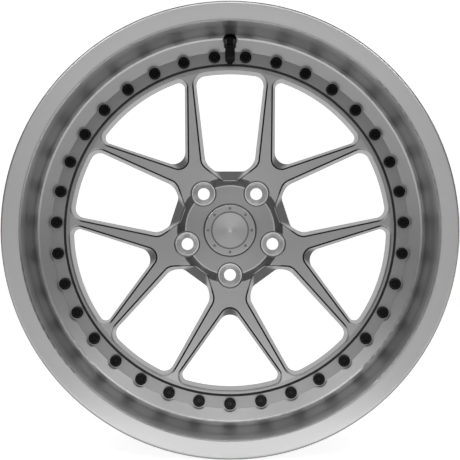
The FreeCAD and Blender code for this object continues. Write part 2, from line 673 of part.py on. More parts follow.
# Inner barrel: bolting flange, well, rear hump, bead seat and flange
barrel = wheel_body("inner_barrel")
outline(section_sketch(barrel, "BarrelSection"), [
    (f"{REGISTER} + disc_fit", JOINT),
    (f"{WELL} - seal_groove", JOINT),
    (WELL, f"{JOINT} + seal_groove"),
    (WELL, f"{JOINT} + well_length", "knee_round / 2"),
    (f"{BEAD} - knee_drop", f"{JOINT} + well_length + knee_run", "knee_round"),
    (f"{BEAD} - rear_drop", f"{WIDTH} - rear_run", "knee_round"),
    (f"{SEAT_LOW} + hump_height", f"{WIDTH} - {SEAT_END} - hump_run", "hump_round"),
    (SEAT_LOW, f"{WIDTH} - {SEAT_END}", "hump_round"),
    (BEAD, f"{WIDTH} - flange_thickness", "bead_corner_round"),
    (EDGE, f"{WIDTH} - flange_thickness", "flange_back_round"),
    (EDGE, WIDTH, "flange_edge_round"),
    (f"{EDGE} - rear_mouth_width", WIDTH, "flange_edge_round"),
    (f"{SEAT_LOW} - barrel_wall", f"{WIDTH} - flange_thickness - barrel_wall", "knee_round / 2"),
    (f"{SEAT_LOW} - barrel_wall - hump_height", f"{WIDTH} - {SEAT_END} - hump_run", "knee_round"),
    (f"{BEAD} - rear_drop - barrel_wall", f"{WIDTH} - rear_run", "knee_round"),
    (f"{BEAD} - knee_drop - barrel_wall", f"{JOINT} + well_length + knee_run", "knee_round"),
    (f"{WELL} - barrel_wall", f"{JOINT} + well_length", "knee_round / 2"),
    (f"{WELL} - barrel_wall", SEATING, "barrel_wall / 2"),
    (f"{REGISTER} + disc_fit", SEATING),
])
turned_in_halves(barrel, doc.BarrelSection)
bolt_holes(barrel, "0")

# Sealing bead in the groove between lip and barrel on the tyre side
seal = wheel_body("rim_seal")
outline(section_sketch(seal, "SealSection"), [
    (f"{WELL} - seal_groove", JOINT),
    (WELL, f"{JOINT} - seal_groove"),
    (f"{WELL} + seal_groove / 2", JOINT, "seal_groove"),
    (WELL, f"{JOINT} + seal_groove"),
])
turned(seal, "Revolution", doc.SealSection)

# Centre disc: a turned blank, drafted windows, hub recess, lug pockets and bolting flange
disc = wheel_body("center_disc")
outline(section_sketch(disc, "DiscSection"), [
    ("hub_bore_radius", f"{HUB_FACE} - hub_bore_chamfer"),
    ("hub_bore_radius + hub_bore_chamfer", HUB_FACE),
    ("hub_pad_radius", HUB_FACE, "hub_edge_round"),
    ("hub_pad_radius + hub_flank_run", SPOKE_BACK),
    (WINDOW_RIM, DISC_BACK),
    (f"{REGISTER} + disc_flange_width", DISC_BACK, "disc_edge_break"),
    (f"{REGISTER} + disc_flange_width", SEATING, "disc_edge_break"),
    (REGISTER, SEATING),
    (REGISTER, f"{DISC_FACE} + disc_edge_break"),
    (f"{REGISTER} - disc_edge_break", DISC_FACE),
    ("cap_radius + cap_clearance", f"{DISC_FACE} + disc_face_fall"),
    ("cap_radius + cap_clearance", CAP_SEAT),
    (CAP_BORE, CAP_SEAT),
    (CAP_BORE, f"{CAP_SEAT} + cap_bore_length"),
    ("hub_bore_radius", f"{CAP_SEAT} + cap_bore_length"),
])
turned(disc, "Revolution", doc.DiscSection)
tip_cut = drafted_cut(
    disc, "TipWindow",
    tip_window(face_sketch(disc, "TipFront", FRONT_PLANE, -90), "-window_flare", "tip_round_front"),
    tip_window(face_sketch(disc, "TipRear", REAR_PLANE, -90), "window_taper", "tip_round_rear"))
long_cut = drafted_cut(
    disc, "LongWindow",
    long_window(face_sketch(disc, "LongFront", FRONT_PLANE, 90), "-window_flare", "end_reach_front",
                "end_round_front", "root_round_front"),
    long_window(face_sketch(disc, "LongRear", REAR_PLANE, 90), "window_taper", "end_reach_rear",
                "end_round_rear", "root_round_rear"))
windows = round_about(disc, [tip_cut, long_cut], "spoke_count")
edges = disc.newObject("PartDesign::Fillet", "SpokeEdges")
edges.Base = (windows, window_edges(windows.Shape))
edges.setExpression("Radius", bound("spoke_edge_round"))
doc.recompute()
recess = section_sketch(disc, "HubRecess")
outline(recess, [
    ("cap_radius / 2", HUB_FLOOR),
    ("recess_radius", HUB_FLOOR, "recess_round"),
    ("recess_radius + (recess_depth + window_front) * tan(recess_angle * 1deg)", FRONT_PLANE),
    ("cap_radius / 2", FRONT_PLANE),
])
hollow = turned(disc, "Groove", recess)
ridges = disc.newObject("PartDesign::Fillet", "HubRidges")
ridges.Base = (hollow, ridge_edges(hollow.Shape))
ridges.setExpression("Radius", bound("ridge_round"))
doc.recompute()
lug = new_sketch(disc, "LugPocket", "XY_Plane", (Vector(0, 1, 0), 90), z="-lug_circle / 2")
seat_top = f"{HUB_FACE} - lug_land - (lug_seat_radius - lug_hole_radius) / tan(lug_seat_angle * 1deg)"
outline(lug, [
    ("0", FRONT_PLANE),
    ("lug_pocket_radius", FRONT_PLANE),
    ("lug_pocket_radius", seat_top, "lug_pocket_round"),
    ("lug_seat_radius", seat_top),
    ("lug_hole_radius", f"{HUB_FACE} - lug_land"),
    ("lug_hole_radius", f"{HUB_FACE} + lug_land"),
    ("0", f"{HUB_FACE} + lug_land"),
])
round_about(disc, [turned(disc, "Groove", lug)], "spoke_count")
pad = face_sketch(disc, "PadPocket", f"{HUB_FACE} - pad_pocket_depth", 90)
outline(pad, [
    ("pad_pocket_inner", "-pad_pocket_near", "pad_pocket_round"),
    ("pad_pocket_inner + pad_pocket_length", "-pad_pocket_far", "pad_pocket_round"),
    ("pad_pocket_inner + pad_pocket_length", "pad_pocket_far", "pad_pocket_round"),
    ("pad_pocket_inner", "pad_pocket_near", "pad_pocket_round"),
])
round_about(disc, [pocket(disc, pad)], "spoke_count")
bolt_holes(disc, "0")

# Assembly bolts, washers and nuts, each drawn once on the axis and set round the bolt circle
bolt = new_body("bolt_master")
outline(section_sketch(bolt, "BoltSection"), [
    ("0", f"{HEAD_TOP} + bolt_mouth_depth"),
    ("bolt_mouth_radius - bolt_mouth_depth", f"{HEAD_TOP} + bolt_mouth_depth"),
    ("bolt_mouth_radius", HEAD_TOP),
    ("bolt_head_radius", HEAD_TOP, "bolt_head_round"),
    ("bolt_head_radius", "lip_depth"),
    ("bolt_radius", "lip_depth"),
    ("bolt_radius", f"{BOLT_END} - bolt_radius / 4"),
    ("bolt_radius * 3 / 4", BOLT_END),
    ("0", BOLT_END),
])
turned(bolt, "Revolution", doc.BoltSection)
pocket(bolt, hexagon(face_sketch(bolt, "BoltSocket", HEAD_TOP, 0), "bolt_socket_width"), "bolt_socket_depth")
bolts = ring_of("assembly_bolts", bolt, "bolt_count", BOLT_CIRCLE)

washer = new_body("washer_master")
outline(section_sketch(washer, "WasherSection"), [
    ("bolt_radius + bolt_clearance", DISC_BACK),
    ("washer_radius", DISC_BACK),
    ("washer_radius", f"{DISC_BACK} + washer_thickness"),
    ("bolt_radius + bolt_clearance", f"{DISC_BACK} + washer_thickness"),
])
turned(washer, "Revolution", doc.WasherSection)
washers = ring_of("assembly_washers", washer, "bolt_count", BOLT_CIRCLE)

nut = new_body("nut_master")
nut_sketch = hexagon(face_sketch(nut, "NutOutline", f"{NUT_SEAT} + nut_height", 0), "nut_width")
padded(nut, circle(nut_sketch, "0", "bolt_radius + thread_clearance"), "nut_height")
nuts = ring_of("assembly_nuts", nut, "bolt_count", BOLT_CIRCLE)

# Centre cap with a plain inlay, its small screws and the ring that holds it in the disc
cap = wheel_body("center_cap")
outline(section_sketch(cap, "CapSection"), [
    ("0", f"{CAP_FACE} + inlay_depth"),
    ("inlay_radius + inlay_gap", f"{CAP_FACE} + inlay_depth"),
    ("inlay_radius + inlay_gap", CAP_FACE),
    ("cap_radius", CAP_FACE, "cap_edge_round"),
    ("cap_radius", CAP_SEAT),
    (SKIRT, CAP_SEAT),
    (SKIRT, f"{CAP_SEAT} + ring_groove_start"),
    (f"{SKIRT} - ring_groove_depth", f"{CAP_SEAT} + ring_groove_start"),
    (f"{SKIRT} - ring_groove_depth", f"{CAP_SEAT} + ring_groove_start + ring_groove_width"),
    (SKIRT, f"{CAP_SEAT} + ring_groove_start + ring_groove_width"),
    (SKIRT, f"{CAP_SEAT} + cap_skirt_length"),
    (f"{SKIRT} - cap_skirt_wall", f"{CAP_SEAT} + cap_skirt_length"),
    (f"{SKIRT} - cap_skirt_wall", CAP_SEAT),
    ("0", CAP_SEAT),
])
turned(cap, "Revolution", doc.CapSection)
hole = circle(face_sketch(cap, "CapScrewHole", CAP_FACE, -90), "cap_screw_circle", "cap_screw_shank + cap_screw_fit")
round_about(cap, [pocket(cap, hole, "cap_screw_length")], "cap_screw_count")

inlay = wheel_body("cap_inlay")
outline(section_sketch(inlay, "InlaySection"), [
    ("0", f"{CAP_FACE} + inlay_depth"),
    ("inlay_radius", f"{CAP_FACE} + inlay_depth"),
    ("inlay_radius", f"{CAP_FACE} + inlay_depth - inlay_thickness"),
    ("0", f"{CAP_FACE} + inlay_depth - inlay_thickness + inlay_cone"),
])
turned(inlay, "Revolution", doc.InlaySection)

screw = new_body("cap_screw_master")
outline(section_sketch(screw, "CapScrewSection"), [
    ("0", f"{CAP_FACE} - cap_screw_height"),
    ("cap_screw_head", f"{CAP_FACE} - cap_screw_height", "cap_screw_height / 2"),
    ("cap_screw_head", CAP_FACE),
    ("cap_screw_shank", CAP_FACE),
    ("cap_screw_shank", f"{CAP_FACE} + cap_screw_length - cap_screw_fit"),
    ("0", f"{CAP_FACE} + cap_screw_length - cap_screw_fit"),
])
turned(screw, "Revolution", doc.CapScrewSection)
screws = ring_of("cap_screws", screw, "cap_screw_count", "cap_screw_circle")

ring = wheel_body("cap_ring")
outline(section_sketch(ring, "RingSection"), [
    (f"{SKIRT} - ring_groove_depth", f"{CAP_SEAT} + ring_groove_start + ring_side_gap", "ring_corner_round"),
    (CAP_BORE, f"{CAP_SEAT} + ring_groove_start + ring_side_gap", "ring_corner_round"),
    (CAP_BORE, f"{CAP_SEAT} + ring_groove_start + ring_groove_width - ring_side_gap", "ring_corner_round"),
    (f"{SKIRT} - ring_groove_depth",
     f"{CAP_SEAT} + ring_groove_start + ring_groove_width - ring_side_gap", "ring_corner_round"),
])
turned(ring, "Revolution", doc.RingSection)

# Clamped-in valve: seal and foot inside the tyre, washer, nut and cap in the dish
grommet = valve_body("valve_grommet")
outline(section_sketch(grommet, "GrommetSection"), [
    ("stem_radius + grommet_fit", STEM_FOOT),
    ("grommet_radius", STEM_FOOT),
    ("grommet_radius", "-valve_wall"),
    ("valve_hole_radius - grommet_fit", "-valve_wall"),
    ("valve_hole_radius - grommet_fit", "grommet_sleeve - valve_wall"),
    ("stem_radius + grommet_fit", "grommet_sleeve - valve_wall"),
])
turned(grommet, "Revolution", doc.GrommetSection)

stem = valve_body("valve_stem")
outline(section_sketch(stem, "StemSection"), [
    ("stem_bore", f"{STEM_FOOT} - stem_head_height"),
    ("stem_head_radius", f"{STEM_FOOT} - stem_head_height", "stem_head_height / 3"),
    ("stem_head_radius", STEM_FOOT),
    ("stem_radius", STEM_FOOT),
    ("stem_radius", "stem_length"),
    ("stem_bore", "stem_length"),
])
turned(stem, "Revolution", doc.StemSection)

core = valve_body("valve_core")
outline(section_sketch(core, "CoreSection"), [
    ("0", "stem_length - core_length"),
    ("stem_bore - core_fit", "stem_length - core_length"),
    ("stem_bore - core_fit", "stem_length - core_pin_height"),
    ("core_pin_radius", "stem_length - core_pin_height"),
    ("core_pin_radius", "stem_length + core_pin_height / 4"),
    ("0", "stem_length + core_pin_height / 4"),
])
turned(core, "Revolution", doc.CoreSection)

seat_washer = valve_body("valve_washer")
outline(section_sketch(seat_washer, "SeatWasherSection"), [
    ("stem_radius + grommet_fit", "0"),
    ("valve_washer_radius", "0"),
    ("valve_washer_radius", "valve_washer_thickness"),
    ("stem_radius + grommet_fit", "valve_washer_thickness"),
])
turned(seat_washer, "Revolution", doc.SeatWasherSection)

collar = valve_body("valve_nut")
collar_sketch = hexagon(face_sketch(collar, "CollarOutline", COLLAR_TOP, 0), "collar_width")
padded(collar, circle(collar_sketch, "0", "stem_radius + thread_clearance"), "collar_height")
outline(section_sketch(collar, "CollarNeck"), [
    ("stem_radius + thread_clearance", COLLAR_TOP),
    ("collar_neck_radius", COLLAR_TOP),
    ("collar_neck_radius", f"{COLLAR_TOP} + collar_neck_height", "collar_neck_height / 4"),
    ("stem_radius + thread_clearance", f"{COLLAR_TOP} + collar_neck_height"),
])
turned(collar, "Revolution", doc.CollarNeck)

valve_cap = valve_body("valve_cap")
outline(section_sketch(valve_cap, "ValveCapSection"), [
    ("stem_radius + thread_clearance", CAP_FOOT),
    ("valve_cap_radius", CAP_FOOT),
    ("valve_cap_radius", f"{CAP_FOOT} + valve_cap_length - valve_cap_tip", "valve_cap_round"),
    ("valve_cap_tip", f"{CAP_FOOT} + valve_cap_length"),
    ("0", f"{CAP_FOOT} + valve_cap_length"),
    ("0", "stem_length + valve_cap_room"),
    ("stem_radius + thread_clearance", "stem_length + valve_cap_room"),
])
turned(valve_cap, "Revolution", doc.ValveCapSection)

# Every object is sound before a file is written
doc.recompute()
pieces = [disc, lip, barrel, seal, bolts, washers, nuts, cap, inlay, screws, ring]
pieces += [stem, core, grommet, seat_washer, collar, valve_cap]
for item in doc.Objects:
    if "Invalid" in item.State or "Error" in item.State:
        raise RuntimeError(f"{item.Label} did not recompute: {item.State}")
for piece in pieces:
    if piece.Shape.isNull() or not piece.Shape.isValid():
        raise RuntimeError(f"{piece.Label} has no sound shape")
os.makedirs("parts", exist_ok=True)
for piece in pieces:
    piece.Shape.exportStep(f"parts/{piece.Label}.step")
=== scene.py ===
import math

import bmesh
import bpy
from bpy.props import FloatProperty, FloatVectorProperty, IntProperty, PointerProperty
from mathutils import Matrix, Vector


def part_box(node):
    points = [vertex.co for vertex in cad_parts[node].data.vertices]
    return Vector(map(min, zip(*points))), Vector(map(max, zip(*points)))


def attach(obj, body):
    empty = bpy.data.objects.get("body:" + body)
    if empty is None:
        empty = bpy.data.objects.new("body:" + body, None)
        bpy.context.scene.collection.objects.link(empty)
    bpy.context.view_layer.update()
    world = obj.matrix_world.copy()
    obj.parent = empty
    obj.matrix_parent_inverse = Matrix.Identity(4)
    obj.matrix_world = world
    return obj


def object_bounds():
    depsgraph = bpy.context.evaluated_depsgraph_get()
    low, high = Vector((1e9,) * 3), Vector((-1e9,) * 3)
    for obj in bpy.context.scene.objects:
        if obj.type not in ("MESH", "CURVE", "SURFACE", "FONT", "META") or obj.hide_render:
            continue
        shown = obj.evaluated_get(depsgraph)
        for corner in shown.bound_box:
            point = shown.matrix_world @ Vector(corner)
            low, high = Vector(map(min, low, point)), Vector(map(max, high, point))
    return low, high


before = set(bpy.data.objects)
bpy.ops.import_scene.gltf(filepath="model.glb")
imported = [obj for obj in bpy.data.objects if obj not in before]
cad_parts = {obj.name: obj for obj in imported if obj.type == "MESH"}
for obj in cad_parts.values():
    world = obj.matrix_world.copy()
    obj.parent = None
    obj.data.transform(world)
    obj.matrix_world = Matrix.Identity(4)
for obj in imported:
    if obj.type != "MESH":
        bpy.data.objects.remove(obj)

bl_info = {
    "name": "Forged Wheel Finishes",
    "version": (1, 0, 0),
    "blender": (4, 5, 0),
    "location": "3D View > Sidebar > Wheel",
    "description": "Metal finishes, threads, grip ribs and studio for a three-piece forged wheel",
    "category": "Object",
}

CAD_LOW, CAD_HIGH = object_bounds()
BOLTS_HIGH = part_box("assembly_bolts")[1]
NUTS_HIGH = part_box("assembly_nuts")[1]
VALVE_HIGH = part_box("valve_cap")[1]

# Lug seats: their number, the radius of their circle and of each seat
LUG_COUNT = 5
LUG_CIRCLE = 0.056
LUG_SEAT = 0.0144

# Lip and barrel run true from this radius outward
TURNED_FROM = 0.226

# Tool marks go on down a wall, spaced by this share of their depth along the axis
DEPTH_SHARE = 0.73

# Broad bands between the tool marks, and a cloudy haze over them
BAND_SHARE = 0.06
HAZE_SCALE = 11.0

# Height of the tool marks, and how far the roughness strays
MARK_STRENGTH = 0.2
ROUGHNESS_STRAY = 0.05

# Tool marks fade out and the metal gets rougher this many marks from the axis
CALM_MARKS = 12.0
CALM_ROUGHNESS = 0.4

# Half the width in which one band of leans goes over into the next
LEAN_BLEND = 0.003

# Turns the stretched reflections across the tool marks, a quarter of a full turn
ACROSS_MARKS = 0.25

# Ends of the threads and ribs that stay plain, in half widths of a ridge or rib
THREAD_START = 0.5
THREAD_FREE = 2.5
RIB_START = 2.5

# Points of a thread or rib nearer than this are joined into one
SAME_POINT = 1e-7

# Softboxes stand this far from the axis and ahead of the wheel's middle
SOFTBOX_REACH = 1.4
SOFTBOX_AHEAD = 1.28

# The low strip's place, and its width as a share of its length
STRIP_PLACE = (0.0, -0.31, -0.248)
STRIP_SHARE = 0.1

# Lamps aim at the lip's front, this share of their own way from the axis
AIM_SHARE = 0.5

# Width of the camera's sensor in millimetres
SENSOR_WIDTH = 36.0


# Properties

def grey(name, description, level):
    """A neutral colour property; the metal of this wheel has no hue."""
    return FloatVectorProperty(name=name, description=description, subtype="COLOR", size=3,
                               min=0.0, max=1.0, default=(level, level, level))


def factor(name, description, default):
    """A share from nothing to all."""
    return FloatProperty(name=name, description=description, subtype="FACTOR", min=0.0, max=1.0,
                         default=default)


def length(name, description, default):
    """A length in metres."""
    return FloatProperty(name=name, description=description, subtype="DISTANCE", unit="LENGTH",
                         min=0.0, default=default)


def power(name, description, default):
    """A lamp's power in watts."""
    return FloatProperty(name=name, description=description, unit="POWER", min=0.0, default=default)


def angle(name, description, degrees, most):
    """An angle and the most it can be, given in degrees."""
    return FloatProperty(name=name, description=description, subtype="ANGLE", unit="ROTATION",
                         min=0.0, max=math.radians(most), default=math.radians(degrees))


class WheelFinishes(bpy.types.PropertyGroup):
    """Colours and roughness of the wheel's metals."""

    lip_colour: grey("Lip", "Turned and clear coated aluminium of the lip", 0.95)
    lip_roughness: factor("Lip Roughness", "How satin the lip is", 0.4)
    disc_colour: grey("Disc", "Brushed and tinted aluminium of the centre disc", 0.315)
    disc_roughness: factor("Disc Roughness", "How satin the disc is", 0.33)
    seat_colour: grey("Lug Seats", "Bare machined aluminium of the lug seats", 0.64)
    barrel_colour: grey("Barrel", "Machined aluminium of the barrel", 0.33)
    barrel_roughness: factor("Barrel Roughness", "How satin the barrel is", 0.36)
    cap_colour: grey("Cap", "Brushed aluminium of the cap", 0.315)
    inlay_colour: grey("Inlay", "Spun aluminium in the cap", 0.355)
    plated_colour: grey("Plated Steel", "Nuts and washers", 0.36)
    black_colour: grey("Black Hardware", "Bolts and valve", 0.003)
    black_roughness: factor("Black Roughness", "How glossy the black hardware is", 0.18)
    rubber_colour: grey("Rubber", "Seals and the cap's ring", 0.018)
    brass_colour: FloatVectorProperty(name="Brass", description="Valve core", subtype="COLOR", size=3,
                                      min=0.0, max=1.0, default=(0.58, 0.42, 0.17))


class WheelThreads(bpy.types.PropertyGroup):
    """Sizes of the threads on the bolt ends and of the ribs on the valve cap."""

    bolt_count: IntProperty(name="Bolts", description="Assembly bolts round the disc", min=3, default=35)
    bolt_circle: length("Bolt Circle", "Radius of the assembly bolt circle", 0.213)
    bolt_radius: length("Bolt Radius", "Shank of an assembly bolt", 0.004)
    bolt_pitch: length("Bolt Pitch", "Thread of an assembly bolt", 0.00072)
    bolt_ridge: length("Bolt Ridge", "Half width of a thread ridge", 0.00026)
    rib_count: IntProperty(name="Cap Ribs", description="Ribs round the valve cap", min=3, default=28)
    rib_width: length("Cap Rib", "Half width of a rib", 0.00034)
    rib_length: length("Cap Rib Length", "Ribs along the valve cap", 0.013)
    valve_radius: length("Valve Cap Radius", "Outside of the valve cap", 0.0056)
    valve_lean: angle("Valve Lean", "Valve from the wheel's axis", 55.0, most=90.0)


class WheelStudio(bpy.types.PropertyGroup):
    """Camera, floor and light."""

    camera_distance: length("Camera Distance", "Camera ahead of the lip's front", 1.7)
    frame_half_width: length("Half Frame", "Half the width seen at the lip's front", 0.2716)
    camera_rise: length("Camera Rise", "Camera above the wheel's axis", 0.00026)
    floor_colour: grey("Floor", "Plain pale floor and backdrop", 0.72)
    floor_glow: factor("Floor Lift", "White added to the floor where a lens or metal sees it", 0.75)
    front_level: factor("Front Light", "Soft light from ahead of the wheel", 0.5)
    side_level: factor("Side Light", "Light left between the dark screens at the sides", 0.25)
    back_level: factor("Back Light", "Light from behind the wheel", 1.0)
    softbox_power: power("Softbox", "Each of the three softboxes overhead", 8.5)
    softbox_size: length("Softbox Size", "Side of a softbox", 0.6)
    softbox_turn: angle("Softbox Spacing", "Between the softboxes, round the axis", 38.0, most=180.0)
    strip_power: power("Low Strip", "Narrow lamp near the floor", 0.17)
    strip_length: length("Low Strip Length", "Length of the low strip", 0.44)


# Node trees

class Pen:
    """Adds nodes to a tree and joins them."""

    def __init__(self, tree):
        self.tree = tree

    def feed(self, node, inputs):
        """Sets or links a node's inputs, by name or number."""
        for key, given in inputs.items():
            if isinstance(given, bpy.types.NodeSocket):
                self.tree.links.new(given, node.inputs[key])
            else:
                node.inputs[key].default_value = given

    def add(self, kind, inputs=None, **settings):
        """Adds a node, sets its options, then feeds its inputs."""
        node = self.tree.nodes.new(kind)
        for key, option in settings.items():
            setattr(node, key, option)
        self.feed(node, inputs or {})
        return node

    def math(self, operation, *values):
        """Adds one sum and gives its result."""
        return self.add("ShaderNodeMath", dict(enumerate(values)), operation=operation).outputs[0]

    def vector(self, operation, inputs):
        """Adds one vector sum and gives its result."""
        return self.add("ShaderNodeVectorMath", inputs, operation=operation).outputs[0]

    def shared(self, first, second, share):
        """Two values added, the first by a share and the second by the rest."""
        return self.math("MULTIPLY_ADD", first, share, self.math("MULTIPLY", second, 1.0 - share))

    def spread(self, given, low, high):
        """Takes a value from 0 to 1 over to the range from low to high."""
        return self.add("ShaderNodeMapRange", {0: given, 3: low, 4: high}).outputs[0]

    def about(self, given, middle, stray):
        """Takes a value from 0 to 1 over to a range about a middle."""
        return self.spread(given, middle - stray, middle + stray)

    def rise(self, given, low, high):
        """Nothing up to low, one from high on, and an even rise between."""
        return self.add("ShaderNodeMapRange", {0: given, 1: low, 2: high}).outputs[0]

    def noise(self, place, scale, detail):
        """A cloudy pattern laid in space."""
        inputs = {"Vector": place, "Scale": scale, "Detail": detail}
        return self.add("ShaderNodeTexNoise", inputs).outputs[0]

    def marks(self, travel, scale, detail, roughness=0.5):
        """A pattern that changes along one way only."""
        inputs = {"W": travel, "Scale": scale, "Detail": detail, "Roughness": roughness}
        return self.add("ShaderNodeTexNoise", inputs, noise_dimensions="1D").outputs[0]

    def bump(self, height, strength, depth, normal=None):
        """A surface normal that follows a height."""
        node = self.add("ShaderNodeBump", {"Strength": strength, "Distance": depth, "Height": height})
        if normal is not None:
            self.feed(node, {"Normal": normal})
        return node.outputs[0]

    def tones(self, given, colour, dark, light):
        """A colour between two shares of itself."""
        node = self.add("ShaderNodeValToRGB", {0: given})
        for element, share in zip(node.color_ramp.elements, (dark, light)):
            element.color = (*shade(colour, share), 1.0)
        return node.outputs[0]

    def steps(self, given, low, high, stops):
        """A value that follows stops, each a place between low and high and a level."""
        node = self.add("ShaderNodeValToRGB", {0: self.rise(given, low, high)})
        elements = node.color_ramp.elements
        while len(elements) < len(stops):
            elements.new(1.0)
        for element, (spot, level) in zip(elements, stops):
            element.position = (spot - low) / (high - low)
            element.color = (level, level, level, 1.0)
        return node.outputs[0]

    def blend(self, share, first, second, kind="MIX"):
        """Two colours mixed, or multiplied, by a share."""
        node = self.add("ShaderNodeMix", {"Factor": share}, data_type="RGBA", blend_type=kind)
        colours = [socket for socket in node.inputs if socket.type == "RGBA"]
        for socket, given in zip(colours, (first, second)):
            if isinstance(given, bpy.types.NodeSocket):
                self.tree.links.new(given, socket)
            else:
                socket.default_value = (*given, 1.0)
        return next(socket for socket in node.outputs if socket.type == "RGBA")


def shade(colour, share):
    """The colour lightened or darkened by a share."""
    return tuple(min(1.0, channel * share) for channel in colour)


def new_finish(name):
    """A new node material: its pen, its shader and where its patterns are laid."""
    material = bpy.data.materials.new(name)
    material.use_nodes = True
    pen = Pen(material.node_tree)
    shader = material.node_tree.nodes["Principled BSDF"]
    place = pen.add("ShaderNodeTexCoord").outputs["Object"]
    return material, pen, shader, place


def around_axis(pen, place):
    """Distance from the wheel's axis, and depth along it."""
    split = pen.add("ShaderNodeSeparateXYZ", {0: place})
    flat = pen.add("ShaderNodeCombineXYZ", {0: split.outputs[0], 2: split.outputs[2]}).outputs[0]
    radius = pen.add("ShaderNodeVectorMath", {0: flat}, operation="LENGTH").outputs["Value"]
    return radius, split.outputs[1]


def near_lugs(pen, place, radius):
    """One within the lug seats and nothing elsewhere; the first lug is at the bottom."""
    split = pen.add("ShaderNodeSeparateXYZ", {0: place})
    bearing = pen.math("ARCTAN2", split.outputs[0], pen.math("MULTIPLY", split.outputs[2], -1.0))
    pitch = math.tau / LUG_COUNT
    nearest = pen.math("MULTIPLY", pen.math("ROUND", pen.math("DIVIDE", bearing, pitch)), pitch)
    off = pen.math("SUBTRACT", bearing, nearest)
    aside = pen.math("MULTIPLY", radius, pen.math("SINE", off))
    along = pen.math("SUBTRACT", pen.math("MULTIPLY", radius, pen.math("COSINE", off)), LUG_CIRCLE)
    squares = pen.math("ADD", pen.math("POWER", aside, 2.0), pen.math("POWER", along, 2.0))
    return pen.math("LESS_THAN", pen.math("SQRT", squares), LUG_SEAT)


def run_true(pen, place, radius, start):
    """The surface normal of a piece that runs true: beyond a radius its sideways part is taken out."""
    normal = pen.add("ShaderNodeNewGeometry").outputs["Normal"]
    across = pen.vector("CROSS_PRODUCT", {0: place, 1: (0.0, 1.0, 0.0)})
    astray = pen.vector("PROJECT", {0: normal, 1: across})
    beyond = pen.math("GREATER_THAN", radius, start)
    taken = pen.vector("SCALE", {0: astray, "Scale": beyond})
    true = pen.vector("SUBTRACT", {0: normal, 1: taken})
    return pen.vector("NORMALIZE", {0: true})


def paint_shading_by_lean(pen, tone, radius, painted_lean_shading):
    """Painted light and shade: the tone multiplied by a share for how far a face leans from the front,
    in bands of radius.
    """
    normal = pen.add("ShaderNodeNewGeometry").outputs["Normal"]
    front = pen.add("ShaderNodeSeparateXYZ", {0: normal}).outputs[1]
    result = None
    for start, stops in painted_lean_shading:
        lean_shaded = pen.blend(1.0, tone, pen.steps(front, -1.0, 1.0, stops), "MULTIPLY")
        if result is None:
            result = lean_shaded
        else:
            beyond = pen.rise(radius, start - LEAN_BLEND, start + LEAN_BLEND)
            result = pen.blend(beyond, result, lean_shaded)
    return result


def turned_metal(name, colour, roughness, stretch, mark, depth, contrast=0.06, painted_shading_zones=(), painted_lean_shading=(),
                 bare=None, true_from=None):
    """Metal finished on a lathe: fine tool marks round the axis draw reflections out across them.

    Mark and depth are the width and height of a tool mark. Zones are stops of radius, each with a share
    of the colour that paints shade in joints and hollows and highlights on bright edges. Leans are bands
    of radius, each with its start and its stops: how far a face is turned from the front (-1) to a wall
    (0) or the back (1), and a share of the colour that paints shade on rounded edges and light on walls.
    Bare is the colour of the lug seats. A piece runs true outward from true_from.
    """
    material, pen, shader, place = new_finish(name)
    radius, along = around_axis(pen, place)
    travel = pen.math("MULTIPLY_ADD", along, DEPTH_SHARE, radius)
    marks = pen.marks(travel, scale=1.0 / mark, detail=4.0, roughness=0.7)
    bands = pen.marks(travel, scale=BAND_SHARE / mark, detail=2.0)
    haze = pen.noise(place, scale=HAZE_SCALE, detail=3.0)
    mixed = pen.shared(marks, haze, share=0.5)
    tone = pen.tones(mixed, colour, dark=1.0 - contrast, light=1.0 + contrast)
    # Painted light and shade by radius
    if painted_shading_zones:
        share = pen.steps(radius, painted_shading_zones[0][0], painted_shading_zones[-1][0], painted_shading_zones)
        tone = pen.blend(1.0, tone, share, "MULTIPLY")
    # Painted light and shade by how far a face leans from the front
    if painted_lean_shading:
        tone = paint_shading_by_lean(pen, tone, radius, painted_lean_shading)
    if bare is not None:
        tone = pen.blend(near_lugs(pen, place, radius), tone, bare)
    calm = pen.math("MINIMUM", pen.math("DIVIDE", radius, CALM_MARKS * mark), 1.0)
    rough = pen.about(pen.shared(bands, haze, share=0.6), roughness, ROUGHNESS_STRAY)
    normal = None
    if true_from is not None:
        normal = run_true(pen, place, radius, true_from)
    tangent = pen.add("ShaderNodeTangent", direction_type="RADIAL", axis="Y")
    pen.feed(shader, {
        "Base Color": tone,
        "Roughness": pen.math("ADD", rough, pen.spread(calm, CALM_ROUGHNESS, 0.0)),
        "Normal": pen.bump(marks, pen.math("MULTIPLY", calm, MARK_STRENGTH), depth, normal),
        "Tangent": tangent.outputs[0],
        "Metallic": 1.0,
        "Anisotropic": stretch,
        "Anisotropic Rotation": ACROSS_MARKS,
    })
    return material


def plain_metal(name, colour, roughness, grain):
    """Metal with an even fine grain, such as plating or blasting leaves."""
    material, pen, shader, place = new_finish(name)
    fine = pen.noise(place, scale=1.0 / grain, detail=3.0)
    haze = pen.noise(place, scale=35.0, detail=2.0)
    mixed = pen.shared(fine, haze, share=0.5)
    pen.feed(shader, {
        "Base Color": pen.tones(mixed, colour, dark=0.9, light=1.1),
        "Roughness": pen.about(mixed, roughness, stray=0.07),
        "Normal": pen.bump(fine, strength=0.15, depth=0.00003),
        "Metallic": 1.0,
    })
    return material


def coated_black(name, colour, roughness):
    """Black coated steel: a dark body with a thin half gloss skin."""
    material, pen, shader, place = new_finish(name)
    skin = pen.noise(place, scale=900.0, detail=3.0)
    haze = pen.noise(place, scale=60.0, detail=2.0)
    pen.feed(shader, {
        "Base Color": pen.tones(haze, colour, dark=0.6, light=1.5),
        "Roughness": pen.about(haze, roughness, stray=0.08),
        "Normal": pen.bump(skin, strength=0.2, depth=0.00004),
        "Specular IOR Level": 0.1,
    })
    return material


